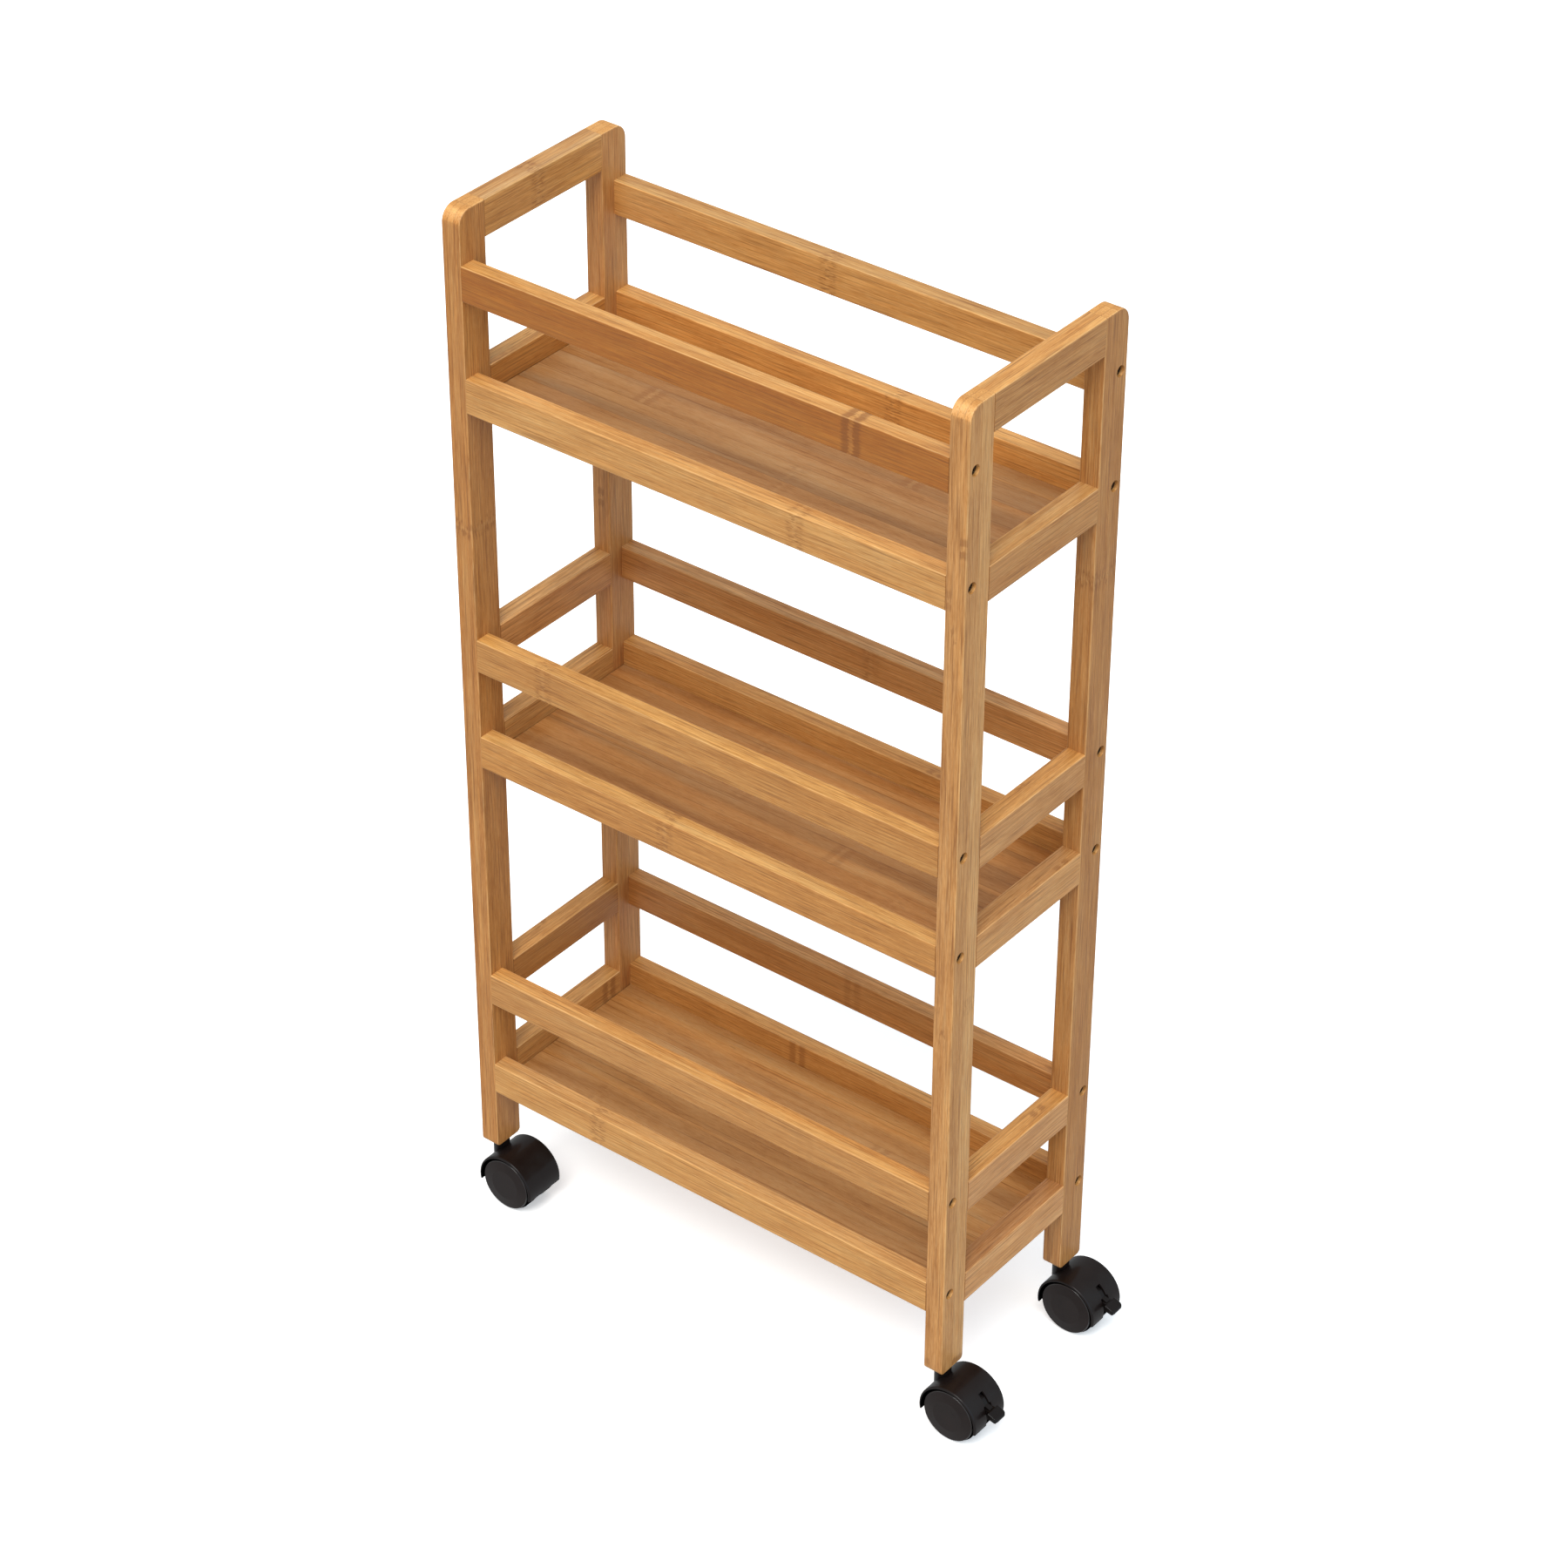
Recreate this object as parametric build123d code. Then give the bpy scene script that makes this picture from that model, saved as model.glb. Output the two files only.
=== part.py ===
from build123d import *
import math
import os

# Slim three-tier bamboo cart on four twin-wheel casters.
# Millimetres, +Z up, floor at Z = 0, long direction along X, front towards -Y.
# The origin is the centre of the whole cart's footprint box, on the floor.

# ---- driving dimensions: wooden frame ----
FRAME_LENGTH = 415.0       # outer face to outer face of the two end frames, along X
FRAME_DEPTH = 166.0        # front of the front posts to back of the rear posts, along Y
POST_HEIGHT = 760.5
POST_THICKNESS = 15.0      # along X
POST_WIDTH = 25.0          # along Y
POST_TOP_RADIUS = 11.0     # outer top corner of each post
POST_FOOT_RADIUS = 3.5     # the two lower corners of each post
EDGE_EASE = 1.0            # small rounding along every wooden edge
HANDLE_RAIL_HEIGHT = 27.0
RAIL_HEIGHT = 25.5
LONG_RAIL_THICKNESS = 13.0
PANEL_THICKNESS = 5.0
TONGUE_THICKNESS = 3.5     # the board's long edges are rebated on top to fit the grooves
PANEL_DROP = 18.5          # rail top down to the board's upper face
GROOVE_DEPTH = 5.0
GROOVE_SLACK = 0.2
PANEL_END_GAP = 0.6
PANEL_SIDE_GAP = 0.3

# depth of each rail's upper edge below the post tops
GUARD_DROP = {"upper": 38.0, "middle": 321.5, "lower": 604.0}
SHELF_DROP = {"upper": 120.5, "middle": 400.0, "lower": 684.0}
TIERS = ("upper", "middle", "lower")

# ---- driving dimensions: joinery ----
DOWEL_RADIUS = 2.5
DOWEL_IN_POST = 10.0
DOWEL_IN_RAIL = 12.0
DOWEL_SPACING = 12.0
DOWEL_END_SLACK = 0.5
SCREW_INSET = 7.0          # screw axis in from the post's outer edge
SCREW_RISE = 6.0           # screw axis above the middle of the rail, clear of the board's groove
SCREW_RECESS_RADIUS = 4.05
SCREW_RECESS_DEPTH = 2.6   # outer face down to the screw head
SCREW_HEAD_RADIUS = 3.8
SCREW_HEAD_HEIGHT = 2.2
SCREW_SHANK_RADIUS = 1.9
SCREW_LENGTH = 40.0
SCREW_SLOT_WIDTH = 1.0
SCREW_SLOT_LENGTH = 4.4
SCREW_SLOT_DEPTH = 1.3
INSERT_RADIUS = 5.0
INSERT_LENGTH = 14.0
INSERT_FLANGE_RADIUS = 6.2
INSERT_FLANGE_HEIGHT = 1.0

# ---- driving dimensions: casters, local origin at the axle, +X trailing ----
WHEEL_RADIUS = 21.5
AXLE_TO_POST = 28.5        # axle centre up to the underside of the post
AXLE_OFFSET = 16.6         # swivel axis to axle centre, along X
HOOD_RADIUS = 24.0
HOOD_INNER_RADIUS = 22.3
HOOD_WIDTH = 34.5
HOOD_EDGE = 0.6
HOOD_RIM_ROUND = 1.2       # soft outer edge of the cover's two round ends
LIP_DROP = 4.3             # the hood's lower edge below the axle
WEB_HALF = 1.9
WEB_FOOT = 6.5
NECK_RADIUS = 6.0
NECK_FOOT = 6.0
NECK_TOP_GAP = 1.4         # neck top down from the post
SOCKET_RADIUS = 4.4        # the stem socket's lower part, between the wheels
SOCKET_FOOT = 1.0
STEM_FLANGE_RADIUS = 5.6
STEM_FLANGE_HEIGHT = 1.1
STEM_JOURNAL_RADIUS = 3.0
STEM_THREAD_RADIUS = 4.0
STEM_THREAD_LENGTH = 13.0
STEM_TIP_GAP = 0.6
STEM_GROOVE_RADIUS = 2.4
STEM_GROOVE_HEIGHT = 1.6
RUNNING = 0.05             # radial clearance of every running fit
AXLE_RADIUS = 2.0
AXLE_HALF = 14.6
WHEEL_INNER_FACE = 5.0
WHEEL_OUTER_FACE = 17.2
WHEEL_RIM_FACE = 16.4      # the face slopes gently back from its flat middle to the rim
WHEEL_DISC_RADIUS = 20.3   # the outer disc, smaller than the tread, so a dark gap shows inside the hood
WHEEL_DISC_EDGE = 0.8
WHEEL_STEP_FACE = 13.6     # where the tread steps down to the disc
WHEEL_TREAD_EDGE = 0.7
WHEEL_BORE_END = 15.0
WHEEL_SKIN = 2.4
WHEEL_RIM_INNER = 18.4
WHEEL_DRUM_OUTER = 11.5
WHEEL_DRUM_INNER = 9.5
WHEEL_FLAT_RADIUS = 12.0
WHEEL_DRUM_FACE = 2.6
WHEEL_HUB_RADIUS = 4.6
WHEEL_HUB_FACE = 2.2

# ---- driving dimensions: brake levers on the two right-hand casters ----
# Places are (radius, angle) round the axle or (x, z) from it, for the lever at rest.
PIVOT_RADIUS = 18.6        # distance of the lever's pin from the axle
PIVOT_ANGLE = 50.0
PIN_RADIUS = 1.0
LEVER_ARM_HALF = 2.0
LEVER_EYE_RADIUS = 2.5
LEVER_BACK = ((16.3, 47.0), (20.8, 53.0), (21.4, 46.0), (23.0, 40.0), (23.2, 28.0))
LEVER_ROOT = ((24.9, 9.3), (25.4, 5.4))
LEVER_BELLY = ((21.0, 10.0), (15.6, 8.0), (15.2, 28.0))
ROOT_HALF = 3.4            # the thicker stretch that passes through the hood's notch
ROOT_OUTLINE = ((21.6, 8.8), (27.0, 8.8), (27.0, 4.9), (21.8, 5.6))
PEDAL_HALF = 6.0
PEDAL_INNER = 25.4
PEDAL_REACH = 33.4
PEDAL_TOP = ((PEDAL_INNER, 9.6), (32.4, 7.2), (PEDAL_REACH, 6.2))
PEDAL_UNDERSIDE = ((PEDAL_REACH, 4.6), (32.0, 3.2), (26.2, 4.6))
PEDAL_CORNER = 2.6         # rounding of the pedal's two outer corners, seen from above
PEDAL_EDGE = 0.6
SHOE_HALF = 4.3
SHOE_INNER = 11.8          # the shoe's arc when it is pressed on
SHOE_OUTER = 15.0
SHOE_ANGLES = (8.0, 28.0)
LEVER_TRAVEL = 10.0        # degrees from free to locked
SLOT_HALF = 2.4
SLOT_TOP_ANGLE = 51.0
NOTCH_HALF = 3.9
NOTCH_TOP_ANGLE = 28.0
OPENING_FOOT_ANGLE = -20.0
OPENING_DEPTH = 1.0        # how far an opening's cut runs in past the shell
CHEEK_RADIUS = 2.9
CHEEK_TUCK = 0.4           # how far the web and the ears run into the shell
WEB_CLEAR_RADIUS = 10.6
WEB_CLEAR_ANGLES = (-30.0, 68.0)

# ---- derived places ----
AXLE_HEIGHT = WHEEL_RADIUS
POST_FOOT = AXLE_HEIGHT + AXLE_TO_POST
POST_TOP = POST_FOOT + POST_HEIGHT
POST_X = (FRAME_LENGTH - POST_THICKNESS) / 2
POST_Y = (FRAME_DEPTH - POST_WIDTH) / 2
LONG_RAIL_LENGTH = FRAME_LENGTH - 2 * POST_THICKNESS
LONG_RAIL_Y = (FRAME_DEPTH - LONG_RAIL_THICKNESS) / 2
END_RAIL_LENGTH = FRAME_DEPTH - 2 * POST_WIDTH
FOOTPRINT_END = POST_X + AXLE_OFFSET + PEDAL_REACH
CENTRE_SHIFT = -(FOOTPRINT_END - FRAME_LENGTH / 2) / 2
PANEL_LENGTH = LONG_RAIL_LENGTH - 2 * PANEL_END_GAP
INNER_DEPTH = FRAME_DEPTH - 2 * LONG_RAIL_THICKNESS
PANEL_WIDTH = INNER_DEPTH + 2 * (GROOVE_DEPTH - PANEL_SIDE_GAP)
ENDS = {"left": -1, "right": 1}
SIDES = {"front": -1, "rear": 1}


def rail_levels(tier):
    """Centre heights of a tier's guard rail and shelf rail."""
    guard = POST_TOP - GUARD_DROP[tier] - RAIL_HEIGHT / 2
    shelf = POST_TOP - SHELF_DROP[tier] - RAIL_HEIGHT / 2
    return guard, shelf


def screw_heights():
    """Every height at which a long rail is screwed to the posts."""
    return [z + SCREW_RISE for tier in TIERS for z in rail_levels(tier)]


def end_rail_heights():
    """Centre height of each cross rail of an end frame; the upper tier has no guard rail there."""
    heights = {"handle_rail": POST_TOP - HANDLE_RAIL_HEIGHT / 2}
    for tier in TIERS:
        guard, shelf = rail_levels(tier)
        if tier != "upper":
            heights[f"{tier}_guard_end_rail"] = guard
        heights[f"{tier}_shelf_end_rail"] = shelf
    return heights


def rod_x(radius, start, end, y, z):
    """A round bar along X from start to end."""
    length = abs(end - start)
    return Pos((start + end) / 2, y, z) * Rot(0, 90, 0) * Cylinder(radius, length)


def rod_y(radius, half, x=0.0, z=0.0, y=0.0):
    """A round bar along Y, centred on y."""
    return Pos(x, y, z) * Rot(90, 0, 0) * Cylinder(radius, 2 * half)


def rod_z(radius, bottom, top, x, y):
    """A round bar along Z."""
    return Pos(x, y, (bottom + top) / 2) * Cylinder(radius, top - bottom)


def dowel_places(end):
    """Axis centre (y, z) of each dowel at the front joints of one end frame, mirrored for the rear."""
    middle = POST_Y - POST_WIDTH / 2 - (DOWEL_IN_RAIL - DOWEL_IN_POST) / 2
    for z in end_rail_heights().values():
        for dz in (-DOWEL_SPACING / 2, DOWEL_SPACING / 2):
            for side in SIDES.values():
                yield end * POST_X, side * middle, z + dz


def dowel_bores(end):
    half = (DOWEL_IN_POST + DOWEL_IN_RAIL) / 2 + DOWEL_END_SLACK
    return [rod_y(DOWEL_RADIUS, half, x, z, y) for x, y, z in dowel_places(end)]


def make_post(end, side):
    """One upright: rounded outer top corner, eased edges, screw recesses, dowel holes, insert hole."""
    outer = side * FRAME_DEPTH / 2
    inner = side * (FRAME_DEPTH / 2 - POST_WIDTH)
    with BuildPart() as body:
        with BuildSketch(Plane.YZ.offset(end * POST_X - POST_THICKNESS / 2)):
            with BuildLine():
                Polyline(
                    (inner, POST_FOOT), (outer, POST_FOOT), (outer, POST_TOP), (inner, POST_TOP), close=True
                )
            make_face()
        extrude(amount=POST_THICKNESS)
        across = body.edges().filter_by(Axis.X)
        top = across.filter_by(lambda e: e.center().Z > POST_TOP - 1)
        fillet(top.filter_by(lambda e: abs(e.center().Y - outer) < 1), POST_TOP_RADIUS)
        across = body.edges().filter_by(Axis.X)
        fillet(across.filter_by(lambda e: e.center().Z < POST_FOOT + 1), POST_FOOT_RADIUS)
        rims = body.faces().filter_by(Axis.X).edges()
        fillet(rims.filter_by(lambda e: e.center().Z < POST_TOP - 0.5), EDGE_EASE)
    post = body.part
    post -= dowel_bores(end)
    y = side * (FRAME_DEPTH / 2 - SCREW_INSET)
    face = end * FRAME_LENGTH / 2
    for z in screw_heights():
        seat = face - end * (SCREW_RECESS_DEPTH + SCREW_HEAD_HEIGHT)
        post -= rod_x(SCREW_RECESS_RADIUS, face + end, seat, y, z)
        post -= rod_x(SCREW_SHANK_RADIUS, face, face - end * 2 * POST_THICKNESS, y, z)
    x = end * POST_X
    post -= rod_z(INSERT_RADIUS, POST_FOOT - 1, POST_FOOT + INSERT_LENGTH, x, side * POST_Y)
    post -= rod_z(INSERT_FLANGE_RADIUS, POST_FOOT - 1, POST_FOOT + INSERT_FLANGE_HEIGHT, x, side * POST_Y)
    return post


def eased_bar(length, width, height, axis):
    """A square bar with its four long edges eased."""
    size = (length, width, height) if axis == Axis.X else (width, length, height)
    bar = Box(*size)
    return fillet(bar.edges().filter_by(axis), EDGE_EASE)


def make_end_rail(end, z, height):
    rail = Pos(end * POST_X, 0, z) * eased_bar(END_RAIL_LENGTH, POST_THICKNESS, height, Axis.Y)
    rail -= dowel_bores(end)
    return rail


def make_long_rail(side, z, grooved):
    bar = eased_bar(LONG_RAIL_LENGTH, LONG_RAIL_THICKNESS, RAIL_HEIGHT, Axis.X)
    rail = Pos(0, side * LONG_RAIL_Y, z) * bar
    if grooved:
        low = z + RAIL_HEIGHT / 2 - PANEL_DROP - PANEL_THICKNESS
        tall = TONGUE_THICKNESS + GROOVE_SLACK
        middle = side * (INNER_DEPTH / 2 + GROOVE_DEPTH / 2)
        rail -= Pos(0, middle, low + tall / 2) * Box(LONG_RAIL_LENGTH + 2, GROOVE_DEPTH, tall)
    y = side * (FRAME_DEPTH / 2 - SCREW_INSET)
    tip = FRAME_LENGTH / 2 - SCREW_RECESS_DEPTH - SCREW_LENGTH
    for end in ENDS.values():
        rail -= rod_x(SCREW_SHANK_RADIUS, end * FRAME_LENGTH / 2, end * (tip - 1), y, z + SCREW_RISE)
    return rail


def make_panel(tier):
    """A thin glued board whose rebated long edges lie in the grooves of its two shelf rails."""
    bottom = POST_TOP - SHELF_DROP[tier] - PANEL_DROP - PANEL_THICKNESS
    tongue = Box(PANEL_LENGTH, PANEL_WIDTH, TONGUE_THICKNESS)
    board = Box(PANEL_LENGTH, INNER_DEPTH - 2 * PANEL_SIDE_GAP, PANEL_THICKNESS)
    board = Pos(0, 0, bottom + PANEL_THICKNESS / 2) * board
    return board + Pos(0, 0, bottom + TONGUE_THICKNESS / 2) * tongue


def make_screw(end, side, z):
    """A cross-recess wood screw, its head sunk below the post's outer face."""
    y = side * (FRAME_DEPTH / 2 - SCREW_INSET)
    head_top = end * (FRAME_LENGTH / 2 - SCREW_RECESS_DEPTH)
    seat = head_top - end * SCREW_HEAD_HEIGHT
    screw = rod_x(SCREW_HEAD_RADIUS, head_top, seat, y, z)
    screw += rod_x(SCREW_SHANK_RADIUS, seat, head_top - end * SCREW_LENGTH, y, z)
    for turn in (45, -45):
        slot = Box(2 * SCREW_SLOT_DEPTH, SCREW_SLOT_WIDTH, SCREW_SLOT_LENGTH)
        screw -= Pos(head_top, y, z) * Rot(turn, 0, 0) * slot
    return screw


def make_screws():
    places = [(e, s, z) for e in ENDS.values() for s in SIDES.values() for z in screw_heights()]
    return [make_screw(*place) for place in places]


def make_dowels():
    half = (DOWEL_IN_POST + DOWEL_IN_RAIL) / 2
    return [rod_y(DOWEL_RADIUS, half, x, z, y) for end in ENDS.values() for x, y, z in dowel_places(end)]


def post_places():
    return [(e * POST_X, s * POST_Y) for e in ENDS.values() for s in SIDES.values()]


def make_insert(x, y):
    """A threaded insert in the foot of a post, with a thin flange."""
    insert = rod_z(INSERT_RADIUS, POST_FOOT, POST_FOOT + INSERT_LENGTH, x, y)
    insert += rod_z(INSERT_FLANGE_RADIUS, POST_FOOT, POST_FOOT + INSERT_FLANGE_HEIGHT, x, y)
    insert -= rod_z(STEM_THREAD_RADIUS, POST_FOOT - 1, POST_FOOT + INSERT_LENGTH + 1, x, y)
    return insert


def make_stem(x, y):
    """Caster stem: threaded upper end, flange against the post, smooth journal below."""
    socket_floor = AXLE_HEIGHT + SOCKET_FOOT + STEM_TIP_GAP
    flange_low = POST_FOOT - STEM_FLANGE_HEIGHT
    stem = rod_z(STEM_JOURNAL_RADIUS, socket_floor, POST_FOOT, x, y)
    stem += rod_z(STEM_FLANGE_RADIUS, flange_low, POST_FOOT, x, y)
    stem += rod_z(STEM_THREAD_RADIUS, flange_low, POST_FOOT + STEM_THREAD_LENGTH, x, y)
    groove_low = socket_floor + 2 * STEM_GROOVE_HEIGHT
    ring = rod_z(STEM_JOURNAL_RADIUS + 1, groove_low, groove_low + STEM_GROOVE_HEIGHT, x, y)
    ring -= rod_z(STEM_GROOVE_RADIUS, groove_low, groove_low + STEM_GROOVE_HEIGHT, x, y)
    return stem - ring


def polar(radius, angle):
    return radius * math.cos(math.radians(angle)), radius * math.sin(math.radians(angle))


def slab(points, half):
    """An outline in the caster's XZ plane, thickened both ways along Y."""
    with BuildPart() as body:
        with BuildSketch(Plane.XZ):
            with BuildLine():
                Polyline(*points, close=True)
            make_face()
        extrude(amount=half, both=True)
    return body.part


def sector(radius, low_angle, high_angle, half):
    """A wedge from the axle out to the radius, between two angles."""
    step = (high_angle - low_angle) / 4
    rim = [polar(radius, low_angle + i * step) for i in range(5)]
    return slab([(0, 0)] + rim, half)


def below_lip():
    """Everything lower than the hood's lip."""
    drop = 2 * HOOD_RADIUS
    return Pos(0, 0, -LIP_DROP - drop / 2) * Box(4 * HOOD_RADIUS, 2 * HOOD_WIDTH, drop)


def hood_shell():
    """The curved cover over both wheels, cut level just below the axle."""
    outer = rod_y(HOOD_RADIUS, HOOD_WIDTH / 2)
    outer = fillet(outer.edges().filter_by(GeomType.CIRCLE), HOOD_RIM_ROUND)
    return outer - rod_y(HOOD_INNER_RADIUS, HOOD_WIDTH) - below_lip()


def hood_web():
    """The plate between the two wheels, with the boss that grips the axle."""
    web = rod_y(HOOD_INNER_RADIUS + CHEEK_TUCK, WEB_HALF) - below_lip()
    return web + rod_y(WEB_FOOT, WEB_HALF)


def hood_neck():
    """The round neck under the post and the narrow stem socket that runs down between the wheels."""
    top = AXLE_TO_POST - NECK_TOP_GAP
    neck = rod_z(NECK_RADIUS, NECK_FOOT, top, -AXLE_OFFSET, 0)
    neck = fillet(neck.edges().group_by(Axis.Z)[-1], HOOD_EDGE)
    neck -= rod_y(HOOD_INNER_RADIUS, HOOD_WIDTH)
    return neck + rod_z(SOCKET_RADIUS, SOCKET_FOOT, top - 2 * HOOD_EDGE, -AXLE_OFFSET, 0)


def pivot():
    return polar(PIVOT_RADIUS, PIVOT_ANGLE)


def brake_openings():
    """What a braked hood leaves out: the arm's slot, the root's notch and the web round the lever."""
    inside = rod_y(HOOD_INNER_RADIUS - OPENING_DEPTH, HOOD_WIDTH)
    slot = sector(2 * HOOD_RADIUS, OPENING_FOOT_ANGLE, SLOT_TOP_ANGLE, SLOT_HALF)
    notch = sector(2 * HOOD_RADIUS, OPENING_FOOT_ANGLE, NOTCH_TOP_ANGLE, NOTCH_HALF)
    room = sector(2 * HOOD_RADIUS, *WEB_CLEAR_ANGLES, SLOT_HALF) & rod_y(HOOD_INNER_RADIUS, HOOD_WIDTH)
    return [slot - inside, notch - inside, room - rod_y(WEB_CLEAR_RADIUS, HOOD_WIDTH)]


def brake_cheeks():
    """Two ears inside the hood that hold the lever's pin."""
    x, z = pivot()
    eye = rod_y(CHEEK_RADIUS, SHOE_HALF, x, z)
    reach = HOOD_INNER_RADIUS + CHEEK_TUCK - PIVOT_RADIUS
    middle = polar(PIVOT_RADIUS + reach / 2, PIVOT_ANGLE)
    bar = Box(reach, 2 * SHOE_HALF, 2 * CHEEK_RADIUS)
    strut = Pos(middle[0], 0, middle[1]) * Rot(0, -PIVOT_ANGLE, 0) * bar
    return eye + strut - Box(4 * HOOD_RADIUS, 2 * SLOT_HALF, 4 * HOOD_RADIUS)


def make_hood(braked):
    hood = hood_shell() + hood_web()
    if braked:
        hood -= brake_openings()
        hood += brake_cheeks()
        hood -= rod_y(PIN_RADIUS, HOOD_WIDTH, *pivot())
    hood += hood_neck()
    bore_floor = SOCKET_FOOT + STEM_TIP_GAP / 2
    hood -= rod_z(STEM_JOURNAL_RADIUS + RUNNING, bore_floor, AXLE_TO_POST, -AXLE_OFFSET, 0)
    hood -= rod_y(AXLE_RADIUS, HOOD_WIDTH)
    return hood


def arc_middle(outer, face, edge):
    """The point halfway round a rounded corner that ends at the outer radius and at the face."""
    bend = edge * (1 - math.sqrt(0.5))
    return outer - bend, face - bend


def wheel_inside(skin, bore):
    """The cup's inner outline: axle bore, hub, brake drum and the back of the tread."""
    return Polyline(
        (0, WHEEL_BORE_END), (bore, WHEEL_BORE_END), (bore, WHEEL_HUB_FACE),
        (WHEEL_HUB_RADIUS, WHEEL_HUB_FACE), (WHEEL_HUB_RADIUS, skin), (WHEEL_DRUM_INNER, skin),
        (WHEEL_DRUM_INNER, WHEEL_DRUM_FACE), (WHEEL_DRUM_OUTER, WHEEL_DRUM_FACE),
        (WHEEL_DRUM_OUTER, skin), (WHEEL_RIM_INNER, skin), (WHEEL_RIM_INNER, WHEEL_INNER_FACE),
        (WHEEL_RADIUS, WHEEL_INNER_FACE), (WHEEL_RADIUS, WHEEL_STEP_FACE - WHEEL_TREAD_EDGE),
    )


def wheel_outside():
    """The tread's rounded shoulder, the step down to the disc, and the disc's domed face."""
    tread_lip = WHEEL_RADIUS - WHEEL_TREAD_EDGE
    disc_lip = WHEEL_DISC_RADIUS - WHEEL_DISC_EDGE
    tread_end = (WHEEL_RADIUS, WHEEL_STEP_FACE - WHEEL_TREAD_EDGE)
    disc_end = (WHEEL_DISC_RADIUS, WHEEL_RIM_FACE - WHEEL_DISC_EDGE)
    tread_bend = arc_middle(WHEEL_RADIUS, WHEEL_STEP_FACE, WHEEL_TREAD_EDGE)
    disc_bend = arc_middle(WHEEL_DISC_RADIUS, WHEEL_RIM_FACE, WHEEL_DISC_EDGE)
    ThreePointArc(tread_end, tread_bend, (tread_lip, WHEEL_STEP_FACE))
    Polyline((tread_lip, WHEEL_STEP_FACE), (WHEEL_DISC_RADIUS, WHEEL_STEP_FACE), disc_end)
    ThreePointArc(disc_end, disc_bend, (disc_lip, WHEEL_RIM_FACE))
    Polyline(
        (disc_lip, WHEEL_RIM_FACE), (WHEEL_FLAT_RADIUS, WHEEL_OUTER_FACE),
        (0, WHEEL_OUTER_FACE), (0, WHEEL_BORE_END),
    )


def make_wheel(side):
    """A cup-shaped wheel: sloped outer disc, tread, brake drum and hub, closed over the axle's end."""
    skin = WHEEL_OUTER_FACE - WHEEL_SKIN
    with BuildPart() as body:
        with BuildSketch(Plane.XY):
            with BuildLine():
                wheel_inside(skin, AXLE_RADIUS + RUNNING)
                wheel_outside()
            make_face()
        revolve(axis=Axis.Y)
    return body.part if side > 0 else mirror(body.part, Plane.XZ)


def make_shoe():
    """The curved shoe over the wheels' drums, drawn pressed on and then turned back to rest."""
    x, z = pivot()
    shoe = sector(SHOE_OUTER + 1, *SHOE_ANGLES, SHOE_HALF) & rod_y(SHOE_OUTER, SHOE_HALF)
    shoe -= rod_y(SHOE_INNER, HOOD_WIDTH)
    return Pos(x, 0, z) * Rot(0, -LEVER_TRAVEL, 0) * Pos(-x, 0, -z) * shoe


def make_pedal():
    """The foot tab outside the hood: rounded corners, every edge eased."""
    plan = Box(2 * PEDAL_REACH, 2 * PEDAL_HALF, 4 * PEDAL_HALF)
    plan = fillet(plan.edges().filter_by(Axis.Z), PEDAL_CORNER)
    pedal = slab(PEDAL_TOP + PEDAL_UNDERSIDE, 2 * PEDAL_HALF) & plan
    return fillet(pedal.edges(), PEDAL_EDGE)


def make_lever():
    """Brake lever: eye round the pin, arm in the slot, shoe inside, root in the notch, pedal outside."""
    x, z = pivot()
    back = [polar(*place) for place in LEVER_BACK]
    belly = [polar(*place) for place in LEVER_BELLY]
    arm = slab(back + list(LEVER_ROOT) + belly, LEVER_ARM_HALF)
    eye = rod_y(LEVER_EYE_RADIUS, LEVER_ARM_HALF, x, z)
    lever = arm + eye + make_shoe() + slab(ROOT_OUTLINE, ROOT_HALF) + make_pedal()
    return lever - rod_y(PIN_RADIUS + RUNNING, HOOD_WIDTH, x, z)


def save(name, shape):
    """Write one node, moved so that the origin is the centre of the cart's footprint."""
    solids = shape if isinstance(shape, list) else [shape]
    group = [Pos(CENTRE_SHIFT, 0, 0) * solid for solid in solids]
    node = group[0] if len(group) == 1 else Compound(children=group)
    node.label = name
    export_step(node, f"parts/{name}.step")


def save_frame():
    for end_name, end in ENDS.items():
        for side_name, side in SIDES.items():
            save(f"{end_name}_{side_name}_post", make_post(end, side))
        for rail_name, z in end_rail_heights().items():
            height = HANDLE_RAIL_HEIGHT if rail_name == "handle_rail" else RAIL_HEIGHT
            save(f"{end_name}_{rail_name}", make_end_rail(end, z, height))
    for tier in TIERS:
        guard, shelf = rail_levels(tier)
        for side_name, side in SIDES.items():
            save(f"{side_name}_{tier}_guard_rail", make_long_rail(side, guard, False))
            save(f"{side_name}_{tier}_shelf_rail", make_long_rail(side, shelf, True))
        save(f"{tier}_shelf_panel", make_panel(tier))
    save("frame_screws", make_screws())
    save("frame_dowels", make_dowels())
    save("stem_inserts", [make_insert(*place) for place in post_places()])
    save("caster_stems", [make_stem(*place) for place in post_places()])


def save_casters():
    hoods = {"left": make_hood(False), "right": make_hood(True)}
    lever = make_lever()
    pin = rod_y(PIN_RADIUS, SHOE_HALF, *pivot())
    axle = rod_y(AXLE_RADIUS, AXLE_HALF)
    wheels = {"front": make_wheel(-1), "rear": make_wheel(1)}
    for end_name, end in ENDS.items():
        for side_name, side in SIDES.items():
            name = f"{end_name}_{side_name}_caster"
            place = Pos(end * POST_X + AXLE_OFFSET, side * POST_Y, AXLE_HEIGHT)
            save(f"{name}_hood", place * hoods[end_name])
            save(f"{name}_axle", place * axle)
            for wheel_name, wheel in wheels.items():
                save(f"{name}_{wheel_name}_wheel", place * wheel)
            if end_name == "right":
                save(f"{name}_brake_lever", place * lever)
                save(f"{name}_brake_pin", place * pin)


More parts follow.
